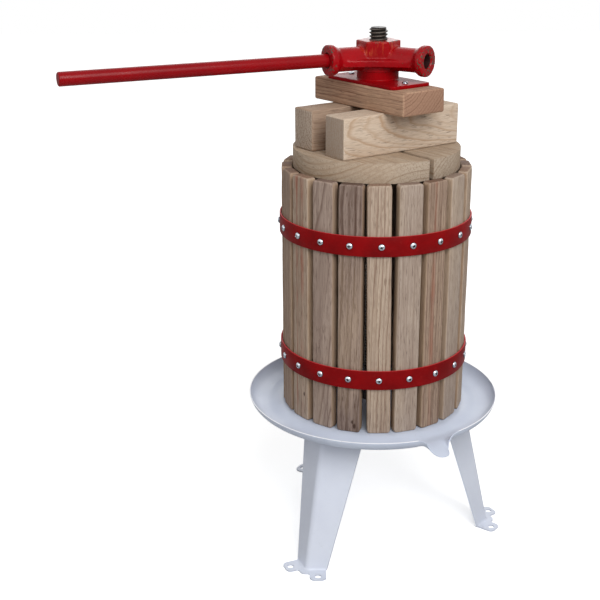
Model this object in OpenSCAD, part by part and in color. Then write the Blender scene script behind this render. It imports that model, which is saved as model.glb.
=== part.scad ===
// Screw basket press: a slatted oak basket on a steel tray with three legs,
// wooden pressing blocks, and a cast head that turns down a threaded post.
// Origin on the post's axis at floor level, +Z up, the pouring lip at the front right.

/* [Basket] */
// Radius of the basket inside, at the middle of a slat
basket_r = 128; // [105:1:155]
// Number of slats
slat_count = 20; // [16:1:24]
// Thickness of a slat
slat_t = 16; // [12:0.5:20]
// Length of a slat
slat_l = 386; // [310:1:470]
// Gap between two slats, inside
slat_gap = 4; // [3:0.5:6]
// Radius of a slat's long edges
slat_edge_r = 2.5; // [1:0.5:4]
// Radius of a slat's end corners
slat_corner_r = 3.5; // [2:0.5:6]

/* [Hoops] */
// Width of a hoop band
hoop_w = 30; // [22:1:38]
// Thickness of a hoop band
hoop_t = 3; // [2:0.5:4]
// Distance from a slat's end to the middle of the hoop
hoop_inset = 89; // [60:1:110]
// Gap between a hoop's lap and the screw heads beside it
lap_gap = 1.3; // [1:0.1:4]

/* [Tray] */
// Height of the tray's platform above the floor
tray_h = 228; // [190:1:280]
// Thickness of the tray's sheet
tray_t = 1.6; // [1:0.1:2.5]
// Width of the platform outside the slats
platform_margin = 10; // [6:1:16]
// Depth of the gutter below the platform
gutter_depth = 5.5; // [3:0.5:8]
// Width of the gutter's flat floor
gutter_w = 16; // [10:1:30]
// Radius of the rim's upward curve
rim_r = 21; // [16:1:30]
// Height of the rim above the platform
rim_h = 12; // [6:1:16]
// Direction of the pouring lip, from the front towards the right
lip_angle = 27.2; // [20:0.1:40]
// Width of the pouring lip at the rim
lip_w = 60; // [44:1:72]
// Reach of the pouring lip beyond the rim
lip_reach = 17; // [10:1:24]
// Drop of the lip's tip below the gutter's floor
lip_drop = 8; // [2:1:14]
// Radius of the lip's rounded tip
lip_tip_r = 13.5; // [8:0.5:16]

/* [Legs] */
// Direction of the front leg, from the front towards the right
leg_angle = -33.7; // [-40:0.1:-25]
// Thickness of the leg's sheet
leg_t = 2.5; // [1.5:0.5:4]
// How far a foot stands out from the leg's top
leg_splay = 49; // [35:1:65]
// Distance of the leg's top ridge from the platform's edge
leg_inset = 3.6; // [2:0.1:8]
// Width of one leg face at the floor
leg_foot_w = 32.4; // [27:0.1:40]
// Width of one leg face at the top
leg_top_w = 66.8; // [55:0.1:75]
// How far each face is turned back from the ridge, in degrees
leg_fold = 34; // [25:1:40]
// Outer radius of the ridge
ridge_r = 9; // [6:0.5:12]
// Distance of a bolt ear's inner side from the ridge
ear_inset = 6.4; // [5:0.1:9]
// Length of a bolt ear
ear_l = 27; // [24:0.5:34]
// Distance of the ear's hole from the leg face
ear_hole_off = 17.5; // [15:0.5:20]
// Reach of the foot's flange in front of the ridge
foot_web = 9; // [7:0.5:12]
// Diameter of the ear's hole
ear_hole_d = 10; // [6:0.5:12]

/* [Post] */
// Diameter of the threaded post over its thread
post_d = 27; // [22:0.1:33]
// Length of post that stands above the head
post_show = 18; // [10:1:30]
// Chamfer at the post's top
post_chamfer = 3; // [1:0.5:4]
// Thickness of the load plate under the tray
load_plate_t = 5; // [4:0.5:8]
// Radius of the load plate under the tray
load_plate_r = 60; // [45:1:75]

/* [Pressing stack] */
// Gap between the half discs and the slats
disc_gap = 2.6; // [1.5:0.1:5]
// Thickness of a half disc
disc_t = 28; // [20:0.5:36]
// Gap between the two half discs
disc_split = 8; // [2:0.5:14]
// Width of a lower block
block_w = 46; // [38:0.5:52]
// Height of a lower block
block_h = 60.5; // [45:0.5:72]
// Width of the top block
top_block_w = 79; // [66:0.5:92]
// Height of the top block
top_block_h = 34.5; // [28:0.5:42]
// Distance of the top block's corners from the discs' edge
top_block_inset = 15; // [5:0.1:30]
// Direction of the lower blocks, from +X towards the back
block_angle = 35; // [20:1:50]
// Direction of the top block, from +X towards the front
top_block_angle = 53.4; // [35:0.1:70]
// Thickness of the pressure plate
plate_t = 5; // [4:0.5:8]
// Distance of the pressure plate's ends from the top block's ends
plate_end_inset = 26; // [12:1:32]
// Distance of the pressure plate's sides from the top block's sides
plate_side_inset = 2.5; // [1:0.5:6]

/* [Head] */
// Direction of the free front socket, from the front towards the right
head_angle = 54.4; // [40:0.1:80]
// Outer diameter of the cup that the head turns in
cup_d = 62; // [56:0.5:70]
// Height of the cup above the pressure plate
cup_h = 13; // [10:0.5:16]
// Size of the hexagonal hub over its corners
hub_d = 66; // [60:0.5:76]
// Height of the hub's top above the sockets' axis
hub_h = 25.5; // [20:0.5:34]
// Gap between the cup's rim and the sockets
cup_gap = 0.5; // [0.4:0.1:4]
// Outer diameter of a socket tube
socket_d = 35; // [32:0.5:40]
// Diameter of the collar at a socket's mouth
collar_d = 45; // [41:0.5:52]
// Length of the collar at a socket's mouth
collar_l = 17; // [12:0.5:24]
// Distance of a socket's mouth from the post's axis
socket_reach = 84; // [78:0.5:105]
// Depth of a socket's bore
socket_depth = 55; // [40:1:60]
// Thickness of the web between the sockets
web_t = 10; // [7:0.5:14]
// Distance of the web's edge from the post's axis, midway between two sockets
web_waist = 40; // [36:0.5:46]

/* [Handle] */
// Diameter of the handle bar
bar_d = 19.4; // [16:0.1:24]
// Length of the handle bar
bar_l = 447; // [360:1:540]

/* [Hidden] */
$fn = 96;
overrun = 1;
leg_count = 3;

// Small fasteners
screw_head_d = 10;
screw_head_h = 3.2;
screw_d = 4.4;
screw_l = 14;
rivet_head_d = 9;
rivet_head_h = 2.2;
rivet_d = 5;
plate_screw_head_d = 9.5;
plate_screw_head_h = 3.2;
plate_screw_d = 5;
plate_screw_l = 28;
plate_screw_inset = 16;
bolt_d = 8;
bolt_head_d = 19;
bolt_head_h = 4.5;
bolt_end = 4;
washer_d = 17;
washer_t = 1.6;
nut_flats = 13;
nut_h = 6.5;
post_nut_flats = 41;
post_nut_h = 22;
post_end = 4;

// Leg tabs under the tray
tab_bolt_inset = 38.4;
tab_bolt_side = 26;
tab_margin = 14;

// Run of the gutter's slope for its depth, and of the cut that trims a leg's sheet
gutter_slope_share = 1.4;
arm_share = 1.1;

// Clearances
touch_gap = 0.1;
hole_gap = 0.1;
thread_gap = 0.08;
socket_gap = 0.4;
post_gap = 2.5;
block_post_gap = 2;
turn_gap = 0.2;

// Small radii and chamfers
wood_edge_r = 3;
disc_edge_r = 2;
plate_corner_r = 8;
ear_corner_r = 8;
foot_bend_r = 4;
foot_notch_r = 3.5;
sheet_bite = 0.1;
bend_overlap = 8;
collar_chamfer = 8.5;
bar_chamfer = 1.2;
hub_edge_r = 3.5;
socket_mouth_chamfer = 1;

// Head's running parts
thrust_washer_t = 3;
cup_wall = 5;
neck_wall = 5;
ring_t = 2.5;
ring_w = 6.5;
ring_groove = 1.5;
ring_drop = 0.4;
neck_end = 2;
core_cover = 4;
web_rise = 0.5;
web_bury = 1;
shoulder_gap = 1;
skirt_gap = 0.5;

// Slats and hoops
slat_step = 360 / slat_count;
slat_w = 2 * (basket_r * tan(slat_step / 2) - slat_gap / 2 / cos(slat_step / 2));
slat_outer_r = basket_r + slat_t;
slat_flat = slat_w / 2 - slat_edge_r;
hoop_in_r = sqrt(pow(slat_outer_r, 2) + pow(slat_flat, 2)) + touch_gap;
hoop_out_r = hoop_in_r + hoop_t;
lap_half = slat_step / 2 - (screw_head_d / 2 + lap_gap) / hoop_out_r * 180 / PI;
lap_angle = 180 - slat_step / 2;
rivet_offset = lap_half / 2;
slat_z = tray_h + touch_gap;
slat_top = slat_z + slat_l;
lower_hoop_z = slat_z + hoop_inset;
upper_hoop_z = slat_top - hoop_inset;

// Tray
platform_r = slat_outer_r + platform_margin;
gutter_in_r = platform_r + gutter_depth * gutter_slope_share;
gutter_out_r = gutter_in_r + gutter_w;
gutter_z = tray_h - gutter_depth;
rim_z = tray_h + rim_h;
rim_rise = rim_z - gutter_z;
rim_turn = acos(1 - rim_rise / rim_r);
rim_edge_r = gutter_out_r + rim_r * sin(rim_turn);
lip_root_r = gutter_out_r;
lip_root_half = lip_tip_r + tray_t;
lip_rim_r = sqrt(pow(rim_edge_r, 2) - pow(lip_w / 2, 2));
lip_tip_z = gutter_z - lip_drop;
lip_tip_at = rim_edge_r + lip_reach - lip_tip_r;

// Legs
leg_top = tray_h - tray_t;
leg_top_r = platform_r - leg_inset;
leg_foot_r = leg_top_r + leg_splay;
lean = atan(leg_splay / leg_top);
leg_len = leg_top / cos(lean);
face_tilt = atan(leg_splay * cos(leg_fold) / leg_top);
fold_half = atan(tan(leg_fold) * cos(lean));
bend_start = ridge_r * tan(leg_fold);
flange_in = leg_t * 2;
ear_w = leg_foot_w - ear_inset;
ear_middle = leg_foot_w - ear_w / 2;
tab_bolt_r = leg_top_r - tab_bolt_inset;
tab_in_r = tab_bolt_r - tab_margin;
tab_half = tab_bolt_side + tab_margin;

// Post
post_r = post_d / 2;
load_plate_z = leg_top - load_plate_t;
bottom_nut_z = load_plate_z - post_nut_h;
post_z = bottom_nut_z - post_end;

// Pressing stack
disc_r = basket_r - disc_gap;
disc_z = slat_top;
block_z = disc_z + disc_t;
block_off = post_r + block_post_gap + block_w / 2;
block_l = 2 * sqrt(pow(disc_r, 2) - pow(block_off + block_w / 2, 2));
top_block_z = block_z + block_h;
top_block_l = 2 * sqrt(pow(disc_r - top_block_inset, 2) - pow(top_block_w / 2, 2));
plate_z = top_block_z + top_block_h;
plate_l = top_block_l - 2 * plate_end_inset;
plate_w = top_block_w - 2 * plate_side_inset;
plate_top = plate_z + plate_t;
post_hole_r = post_r + post_gap;

// Head
thread_r = post_r + thread_gap;
neck_r = thread_r + neck_wall;
cup_in_r = cup_d / 2 - cup_wall;
skirt_r = cup_in_r - skirt_gap;
washer_top = plate_top + thrust_washer_t;
head_bottom = washer_top + turn_gap;
socket_z = plate_top + cup_h + cup_gap + socket_d / 2;
hub_top = socket_z + hub_h;
ring_top = plate_z - ring_drop;
ring_bottom = ring_top - ring_t;
neck_bottom = ring_bottom - neck_end;
ring_r = neck_r + ring_w;
ring_room = ring_r + post_gap;
ring_room_h = plate_z - neck_bottom + post_gap;
socket_r = bar_d / 2 + socket_gap;
socket_end = socket_reach - socket_depth;
web_end_r = socket_reach - collar_l - web_bury;
post_top = hub_top + post_show;

slat_names = [for (i = [1 : slat_count]) str("slat_", i < 10 ? "0" : "", i)];
leg_names = ["leg_front", "leg_right", "leg_back"];

oak = "tan";
oak_dark = "burlywood";
red_paint = "firebrick";
enamel = "aliceblue";
zinc = "silver";
bare_steel = "dimgray";

// Turns its children from +X to a direction counted from the front towards the right
module facing(angle) {
    rotate([0, 0, angle - 90]) children();
}

// A rectangle centred on the origin with round corners
module rounded_rect(size_x, size_y, r) {
    square([size_x - 2 * r, size_y], center = true);
    square([size_x, size_y - 2 * r], center = true);
    for (x = [-1, 1], y = [-1, 1])
        translate([x * (size_x / 2 - r), y * (size_y / 2 - r)]) circle(r);
}

// A block with round long edges along X, its underside at z = 0
module wood_block(size_x, size_y, size_z) {
    intersection() {
        translate([-size_x / 2, 0, size_z / 2]) rotate([90, 0, 90])
            linear_extrude(size_x) rounded_rect(size_y, size_z, wood_edge_r);
        linear_extrude(size_z) rounded_rect(size_x, size_y, wood_edge_r);
    }
}

module hexagon_prism(flats, h) {
    cylinder(d = flats / cos(30), h = h, $fn = 6);
}

// A fastener along +Z with its head's underside at z = 0 and its shank below
module pan_head(head_d, head_h, shank_d, shank_l) {
    translate([0, 0, -shank_l]) cylinder(d = shank_d, h = shank_l);
    intersection() {
        cylinder(d = head_d, h = head_h);
        translate([0, 0, head_h - head_d]) sphere(head_d);
    }
}

// Basket

module slat(i) {
    facing(i * slat_step) color(i % 2 == 0 ? oak : oak_dark) difference() {
        intersection() {
            translate([basket_r + slat_t / 2, 0, slat_z]) linear_extrude(slat_l)
                rounded_rect(slat_t, slat_w, slat_edge_r);
            translate([basket_r, 0, slat_z + slat_l / 2]) rotate([90, 0, 90])
                linear_extrude(slat_t) rounded_rect(slat_w, slat_l, slat_corner_r);
        }
        for (z = [lower_hoop_z, upper_hoop_z]) screw_hole(z);
    }
}

module screw_hole(z) {
    translate([hoop_out_r - screw_l, 0, z]) rotate([0, 90, 0])
        cylinder(d = screw_d + 2 * hole_gap, h = screw_l + overrun);
}

module hoop(z) {
    color(red_paint) difference() {
        union() {
            translate([0, 0, z - hoop_w / 2]) difference() {
                cylinder(r = hoop_out_r, h = hoop_w, $fn = 160);
                translate([0, 0, -overrun])
                    cylinder(r = hoop_in_r, h = hoop_w + 2 * overrun, $fn = 160);
            }
            hoop_lap(z);
        }
        for (i = [0 : slat_count - 1]) facing(i * slat_step) screw_hole(z);
        for (side = [-1, 1]) facing(lap_angle + side * rivet_offset)
            translate([hoop_in_r - overrun, 0, z]) rotate([0, 90, 0])
                cylinder(d = rivet_d + 2 * hole_gap, h = 2 * hoop_t + 2 * overrun);
    }
}

// The band's outer end, which lies over its start
module hoop_lap(z) {
    reach = hoop_out_r + 2 * hoop_t;
    translate([0, 0, z - hoop_w / 2]) facing(lap_angle) linear_extrude(hoop_w) intersection() {
        difference() {
            circle(hoop_out_r + hoop_t, $fn = 160);
            circle(hoop_in_r + hoop_t / 2, $fn = 160);
        }
        polygon([[0, 0], [reach, -reach * tan(lap_half)], [reach, reach * tan(lap_half)]]);
    }
}

module hoop_screws(z) {
    color(zinc) for (i = [0 : slat_count - 1]) facing(i * slat_step)
        translate([hoop_out_r, 0, z]) rotate([0, 90, 0])
            pan_head(screw_head_d, screw_head_h, screw_d, screw_l);
}

module hoop_rivets() {
    color(red_paint) for (z = [lower_hoop_z, upper_hoop_z], side = [-1, 1])
        facing(lap_angle + side * rivet_offset)
            translate([hoop_out_r + hoop_t, 0, z]) rotate([0, 90, 0])
                pan_head(rivet_head_d, rivet_head_h, rivet_d, 2 * hoop_t);
}

// Tray

// The sheet's section from the post out to the rim, on the side that is down by drop
function tray_line(drop) = concat(
    [
        [0, tray_h - drop],
        [platform_r - drop / 2, tray_h - drop],
        [gutter_in_r - drop / 2, gutter_z - drop],
        [gutter_out_r, gutter_z - drop]
    ],
    [for (i = [1 : 10]) let (a = rim_turn * i / 10, r = rim_r + drop)
        [gutter_out_r + r * sin(a), gutter_z + rim_r - r * cos(a)]]
);

function reversed(list) = [for (i = [len(list) - 1 : -1 : 0]) list[i]];

module tray() {
    color(enamel) difference() {
        union() {
            difference() {
                rotate_extrude($fn = 160)
                    polygon(concat(tray_line(0), reversed(tray_line(tray_t))));
                lip_cut();
            }
            pouring_lip();
        }
        translate([0, 0, leg_top - overrun])
            cylinder(r = post_r + hole_gap, h = tray_t + 2 * overrun);
        each_leg_bolt() translate([0, 0, leg_top - overrun])
            cylinder(d = bolt_d + 2 * hole_gap, h = tray_t + 2 * overrun);
    }
}

// The stretch of rim that the lip replaces
module lip_cut() {
    far = rim_edge_r + rim_r;
    spread = (lip_w / 2 - lip_root_half) / (lip_rim_r - lip_root_r);
    far_half = lip_root_half + (far - lip_root_r) * spread;
    facing(lip_angle) translate([0, 0, gutter_z - tray_t - overrun])
        linear_extrude(rim_rise + tray_t + 2 * overrun) polygon([
            [lip_root_r, -lip_root_half],
            [far, -far_half],
            [far, far_half],
            [lip_root_r, lip_root_half]
        ]);
}

// A floor that runs out and down to a round tip, between two folded sides
module pouring_lip() {
    half_t = tray_t / 2;
    facing(lip_angle) {
        hull() {
            for (side = [-1, 1]) translate([lip_root_r, side * lip_root_half, gutter_z - half_t])
                sphere(half_t, $fn = 12);
            translate([lip_tip_at, 0, lip_tip_z - half_t])
                cylinder(r = lip_tip_r, h = tray_t, center = true, $fn = 32);
        }
        for (side = [-1, 1]) hull() {
            translate([lip_root_r, side * lip_root_half, gutter_z - half_t]) sphere(half_t, $fn = 12);
            translate([lip_rim_r + half_t, side * lip_w / 2, rim_z - half_t])
                sphere(half_t, $fn = 12);
            translate([lip_tip_at, side * (lip_tip_r - half_t), lip_tip_z]) sphere(half_t, $fn = 12);
        }
    }
}

// Legs

module each_leg_bolt() {
    for (leg = [0 : leg_count - 1], side = [-1, 1]) facing(leg_angle + leg * 360 / leg_count)
        translate([tab_bolt_r, side * tab_bolt_side, 0]) children();
}

// Points on an arc, from the first angle to the last
function arc(x, y, r, from, to) = [for (i = [0 : 6]) let (a = from + (to - from) * i / 6)
    [x + r * cos(a), y + r * sin(a)]];

// From a face's own measures, along it and out from it, to the leg's
function on_face(list, side) = [for (p = list) [
    p[1] * cos(leg_fold) - p[0] * sin(leg_fold),
    side * (p[0] * cos(leg_fold) + p[1] * sin(leg_fold))
]];

function face_edge(z) =
    cos(leg_fold) * (leg_foot_w + (leg_top_w - leg_foot_w) * z / leg_top);

module leg(i) {
    color(enamel) facing(leg_angle + i * 360 / leg_count) difference() {
        union() {
            leg_sheet();
            leg_tab();
            foot_flange();
            foot_bend();
        }
        for (side = [-1, 1]) {
            translate([tab_bolt_r, side * tab_bolt_side, leg_top - leg_t - overrun])
                cylinder(d = bolt_d + 2 * hole_gap, h = leg_t + 2 * overrun);
            translate([leg_foot_r, 0, -overrun]) rotate([0, 0, side * leg_fold])
                translate([ear_hole_off, side * ear_middle, 0])
                    cylinder(d = ear_hole_d, h = leg_t + 2 * overrun);
        }
    }
}

// The folded sheet, with a round ridge outwards, wider at the top than at the foot
module leg_sheet() {
    arm = leg_top_w * arm_share;
    from = leg_t / 2;
    intersection() {
        translate([leg_foot_r, 0, 0]) rotate([0, -lean, 0]) translate([0, 0, -leg_foot_w])
            linear_extrude(leg_len + leg_foot_w + leg_top_w) polygon(concat(
                [[-arm * sin(fold_half), -arm * cos(fold_half)]],
                arc(-ridge_r / cos(fold_half), 0, ridge_r, -fold_half, fold_half),
                [
                    [-arm * sin(fold_half), arm * cos(fold_half)],
                    [-arm * sin(fold_half) - leg_t * cos(fold_half),
                        arm * cos(fold_half) - leg_t * sin(fold_half)]
                ],
                arc(-ridge_r / cos(fold_half), 0, ridge_r - leg_t, fold_half, -fold_half),
                [[-arm * sin(fold_half) - leg_t * cos(fold_half),
                    leg_t * sin(fold_half) - arm * cos(fold_half)]]
            ));
        rotate([90, 0, 90]) linear_extrude(2 * leg_foot_r) polygon([
            [-face_edge(from), from],
            [face_edge(from), from],
            [face_edge(leg_top), leg_top],
            [-face_edge(leg_top), leg_top]
        ]);
    }
}

// The flange under the tray that takes two bolts
module leg_tab() {
    side_in_r = leg_top_r - tab_half * tan(leg_fold) - leg_t;
    translate([0, 0, leg_top - leg_t]) linear_extrude(leg_t) polygon([
        [tab_in_r, -tab_half],
        [side_in_r, -tab_half],
        [leg_top_r - ridge_r / 2, 0],
        [side_in_r, tab_half],
        [tab_in_r, tab_half]
    ]);
}

// The foot, turned outwards flat on the floor round the ridge, with an ear for each face
module foot_flange() {
    side_line = concat(
        [[leg_foot_w, -flange_in]],
        arc(leg_foot_w - ear_corner_r, ear_l - ear_corner_r, ear_corner_r, 0, 90),
        arc(ear_inset + ear_corner_r, ear_l - ear_corner_r, ear_corner_r, 90, 180),
        arc(ear_inset - foot_notch_r, foot_web + foot_notch_r, foot_notch_r, 0, -90)
    );
    translate([leg_foot_r, 0, 0]) linear_extrude(leg_t) polygon(concat(
        on_face(side_line, 1),
        arc(0, 0, foot_web, leg_fold, -leg_fold),
        reversed(on_face(side_line, -1)),
        [[-flange_in / cos(leg_fold), 0]]
    ));
}

// The round of the bend between the sheet and the flange, out from the sheet at out
function bend_line(out) = let (
    r = foot_bend_r,
    centre_z = leg_t + r - sheet_bite,
    centre_x = (r - sheet_bite - centre_z * sin(face_tilt)) / cos(face_tilt),
    end_z = centre_z - r * sin(face_tilt),
    end_x = -end_z * tan(face_tilt)
) concat(
    arc(out + centre_x, centre_z, r, 270, 180 + face_tilt),
    [
        [out + end_x - leg_t / 2, end_z],
        [out - leg_t / 2, leg_t / 2],
        [out + centre_x, leg_t / 2]
    ]
);

module foot_bend() {
    translate([leg_foot_r, 0, 0]) {
        for (side = [0, 1]) mirror([0, side, 0]) rotate([0, 0, leg_fold])
            translate([0, leg_foot_w - sheet_bite, 0]) rotate([90, 0, 0])
                linear_extrude(leg_foot_w - sheet_bite - bend_start) polygon(bend_line(0));
        translate([-ridge_r / cos(leg_fold), 0, 0]) rotate([0, 0, -leg_fold - bend_overlap])
            rotate_extrude(angle = 2 * (leg_fold + bend_overlap))
                polygon(bend_line(ridge_r - sheet_bite));
    }
}

module leg_bolts() {
    color(zinc) each_leg_bolt() translate([0, 0, tray_h])
        pan_head(bolt_head_d, bolt_head_h, bolt_d,
            tray_t + leg_t + washer_t + nut_h + bolt_end);
}

module leg_nuts() {
    color(zinc) each_leg_bolt() translate([0, 0, leg_top - leg_t - washer_t]) difference() {
        union() {
            cylinder(d = washer_d, h = washer_t);
            translate([0, 0, -nut_h]) hexagon_prism(nut_flats, nut_h);
        }
        translate([0, 0, -nut_h - overrun])
            cylinder(d = bolt_d + 2 * hole_gap, h = nut_h + washer_t + 2 * overrun);
    }
}

// Post

module spindle() {
    color(bare_steel) {
        translate([0, 0, post_z]) cylinder(r = post_r, h = post_top - post_chamfer - post_z);
        translate([0, 0, post_top - post_chamfer])
            cylinder(r1 = post_r, r2 = post_r - post_chamfer, h = post_chamfer);
    }
}

module post_nut(z) {
    color(bare_steel) translate([0, 0, z]) difference() {
        hexagon_prism(post_nut_flats, post_nut_h);
        translate([0, 0, -overrun])
            cylinder(r = post_r + hole_gap, h = post_nut_h + 2 * overrun);
    }
}

module spindle_plate() {
    color(enamel) translate([0, 0, load_plate_z]) difference() {
        cylinder(r = load_plate_r, h = load_plate_t);
        translate([0, 0, -overrun])
            cylinder(r = post_r + hole_gap, h = load_plate_t + 2 * overrun);
    }
}

// Pressing stack, built along the lower blocks' direction

// Half of a whole disc's section, with its rim's edges rounded
function disc_section() = concat(
    [[0, 0]],
    arc(disc_r - disc_edge_r, disc_edge_r, disc_edge_r, -90, 0),
    arc(disc_r - disc_edge_r, disc_t - disc_edge_r, disc_edge_r, 0, 90),
    [[0, disc_t]]
);

module half_disc(side) {
    color(oak) rotate([0, 0, block_angle]) translate([0, 0, disc_z]) difference() {
        intersection() {
            rotate_extrude($fn = 160) polygon(disc_section());
            translate([side * (disc_split + 2 * disc_r) / 2, disc_r, disc_t / 2])
                rotate([90, 0, 0]) linear_extrude(2 * disc_r)
                    rounded_rect(2 * disc_r, disc_t, disc_edge_r);
        }
        translate([0, 0, -overrun]) cylinder(r = post_hole_r, h = disc_t + 2 * overrun);
    }
}

module lower_block(side) {
    color(oak_dark) rotate([0, 0, block_angle]) translate([0, side * block_off, block_z])
        wood_block(block_l, block_w, block_h);
}

module each_plate_screw() {
    rotate([0, 0, -top_block_angle]) for (side = [-1, 1])
        translate([side * (plate_l / 2 - plate_screw_inset), 0, plate_top]) children();
}

module top_block() {
    color(oak) difference() {
        rotate([0, 0, -top_block_angle]) translate([0, 0, top_block_z])
            wood_block(top_block_l, top_block_w, top_block_h);
        translate([0, 0, top_block_z - overrun])
            cylinder(r = post_hole_r, h = top_block_h + 2 * overrun);
        translate([0, 0, plate_z - ring_room_h]) cylinder(r = ring_room, h = ring_room_h + overrun);
        each_plate_screw() translate([0, 0, -plate_screw_l])
            cylinder(d = plate_screw_d + 2 * hole_gap, h = plate_screw_l);
    }
}

module pressure_plate() {
    color(red_paint) difference() {
        union() {
            rotate([0, 0, -top_block_angle]) translate([0, 0, plate_z])
                linear_extrude(plate_t) rounded_rect(plate_l, plate_w, plate_corner_r);
            translate([0, 0, plate_z]) cylinder(d = cup_d, h = plate_t + cup_h);
        }
        translate([0, 0, plate_top]) cylinder(r = cup_in_r, h = cup_h + overrun);
        translate([0, 0, plate_z - overrun])
            cylinder(r = neck_r + turn_gap, h = plate_t + 2 * overrun);
        each_plate_screw() translate([0, 0, -plate_t - overrun])
            cylinder(d = plate_screw_d + 2 * hole_gap, h = plate_t + 2 * overrun);
    }
}

module plate_screws() {
    color(zinc) each_plate_screw()
        pan_head(plate_screw_head_d, plate_screw_head_h, plate_screw_d, plate_screw_l);
}

module thrust_washer() {
    color(zinc) translate([0, 0, plate_top]) difference() {
        cylinder(r = skirt_r, h = thrust_washer_t);
        translate([0, 0, -overrun])
            cylinder(r = neck_r + turn_gap, h = thrust_washer_t + 2 * overrun);
    }
}

module retaining_ring() {
    color(bare_steel) translate([0, 0, ring_bottom]) difference() {
        cylinder(r = ring_r, h = ring_t);
        translate([0, 0, -overrun])
            cylinder(r = neck_r - ring_groove + touch_gap, h = ring_t + 2 * overrun);
    }
}

// Head

module each_socket() {
    for (i = [0 : 2]) facing(head_angle + i * 120) children();
}

module press_head() {
    color(red_paint) difference() {
        union() {
            hub();
            head_web();
            each_socket() socket_tube();
            translate([0, 0, head_bottom])
                cylinder(r = skirt_r, h = socket_z - core_cover - head_bottom);
            translate([0, 0, plate_top + cup_h + shoulder_gap])
                cylinder(d = cup_d, h = socket_z - core_cover - plate_top - cup_h - shoulder_gap);
            translate([0, 0, neck_bottom])
                cylinder(r = neck_r, h = socket_z - core_cover - neck_bottom);
        }
        translate([0, 0, neck_bottom - overrun])
            cylinder(r = thread_r, h = hub_top - neck_bottom + 2 * overrun);
        each_socket() translate([socket_end, 0, socket_z]) rotate([0, 90, 0])
            cylinder(r = socket_r, h = socket_depth + overrun);
        each_socket() translate([socket_reach - socket_mouth_chamfer, 0, socket_z])
            rotate([0, 90, 0]) cylinder(r1 = socket_r, r2 = socket_r + 2 * socket_mouth_chamfer,
                h = 2 * socket_mouth_chamfer);
        translate([0, 0, ring_bottom - touch_gap]) difference() {
            cylinder(r = neck_r + overrun, h = ring_t + 2 * touch_gap);
            translate([0, 0, -overrun])
                cylinder(r = neck_r - ring_groove, h = ring_t + 2 * overrun);
        }
    }
}

// The hexagonal hub, with its corners rounded
module hub() {
    facing(head_angle) rotate([0, 0, 30]) translate([0, 0, socket_z - core_cover]) intersection() {
        cylinder(d = hub_d, h = hub_h + core_cover, $fn = 6);
        cylinder(r = hub_d / 2 - hub_edge_r / 2, h = hub_h + core_cover);
    }
}

// The web that joins the three sockets, hollowed between them and level with their axis
module head_web() {
    // The round that runs through the waist and meets a socket's side at the web's end
    turn = 60 - asin(socket_d / 2 / web_end_r);
    end_x = web_end_r * cos(turn);
    end_y = web_end_r * sin(turn);
    sag = end_x - web_waist;
    hollow_r = (pow(end_y, 2) + pow(sag, 2)) / (2 * sag);
    translate([0, 0, socket_z + web_rise - web_t]) linear_extrude(web_t) difference() {
        circle(web_end_r);
        for (i = [0 : 2]) rotate([0, 0, head_angle + i * 120 + 60 - 90])
            translate([web_waist + hollow_r, 0]) circle(hollow_r, $fn = 240);
    }
}

module socket_tube() {
    translate([0, 0, socket_z]) rotate([0, 90, 0]) {
        translate([0, 0, socket_end - socket_r]) cylinder(d = socket_d, h = socket_depth + socket_r);
        translate([0, 0, socket_reach - collar_l]) {
            cylinder(d1 = socket_d, d2 = collar_d, h = collar_chamfer);
            translate([0, 0, collar_chamfer])
                cylinder(d = collar_d, h = collar_l - collar_chamfer - bar_chamfer);
            translate([0, 0, collar_l - bar_chamfer])
                cylinder(d1 = collar_d, d2 = collar_d - 2 * bar_chamfer, h = bar_chamfer);
        }
    }
}

module handle_bar() {
    color(red_paint) facing(head_angle - 120) translate([socket_end + touch_gap, 0, socket_z])
        rotate([0, 90, 0]) {
            cylinder(d = bar_d, h = bar_l - bar_chamfer);
            translate([0, 0, bar_l - bar_chamfer])
                cylinder(d1 = bar_d, d2 = bar_d - 2 * bar_chamfer, h = bar_chamfer);
        }
}

tray();
for (i = [0 : leg_count - 1]) leg(i);
leg_bolts();
leg_nuts();
spindle();
post_nut(tray_h);  // spindle_top_nut
spindle_plate();
post_nut(bottom_nut_z);  // spindle_bottom_nut
for (i = [0 : slat_count - 1]) slat(i);
hoop(upper_hoop_z);  // upper_hoop
hoop(lower_hoop_z);  // lower_hoop
hoop_screws(upper_hoop_z);  // upper_hoop_screws
hoop_screws(lower_hoop_z);  // lower_hoop_screws
hoop_rivets();
half_disc(-1);  // disc_left
half_disc(1);  // disc_right
lower_block(-1);  // lower_block_front
lower_block(1);  // lower_block_back
top_block();
pressure_plate();
plate_screws();
thrust_washer();
retaining_ring();
press_head();
handle_bar();
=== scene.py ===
import math
import random

import bpy
from mathutils import Matrix, Vector


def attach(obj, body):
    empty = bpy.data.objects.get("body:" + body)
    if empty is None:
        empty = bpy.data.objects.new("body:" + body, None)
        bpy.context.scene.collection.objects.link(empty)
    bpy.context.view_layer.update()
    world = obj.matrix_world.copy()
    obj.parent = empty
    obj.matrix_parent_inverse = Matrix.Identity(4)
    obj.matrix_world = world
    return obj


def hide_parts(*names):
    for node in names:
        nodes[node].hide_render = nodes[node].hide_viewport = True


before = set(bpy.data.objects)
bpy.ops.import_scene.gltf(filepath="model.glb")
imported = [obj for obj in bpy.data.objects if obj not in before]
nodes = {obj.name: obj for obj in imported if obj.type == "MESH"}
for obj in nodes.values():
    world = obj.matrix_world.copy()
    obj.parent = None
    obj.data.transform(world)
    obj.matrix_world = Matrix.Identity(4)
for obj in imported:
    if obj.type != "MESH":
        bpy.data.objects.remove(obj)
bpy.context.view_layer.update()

scene = bpy.context.scene

# Looks of a slatted basket press: finer pieces over the CAD part, in metres, in its frame

# Camera, as fitted to the photograph, in metres and degrees

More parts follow.
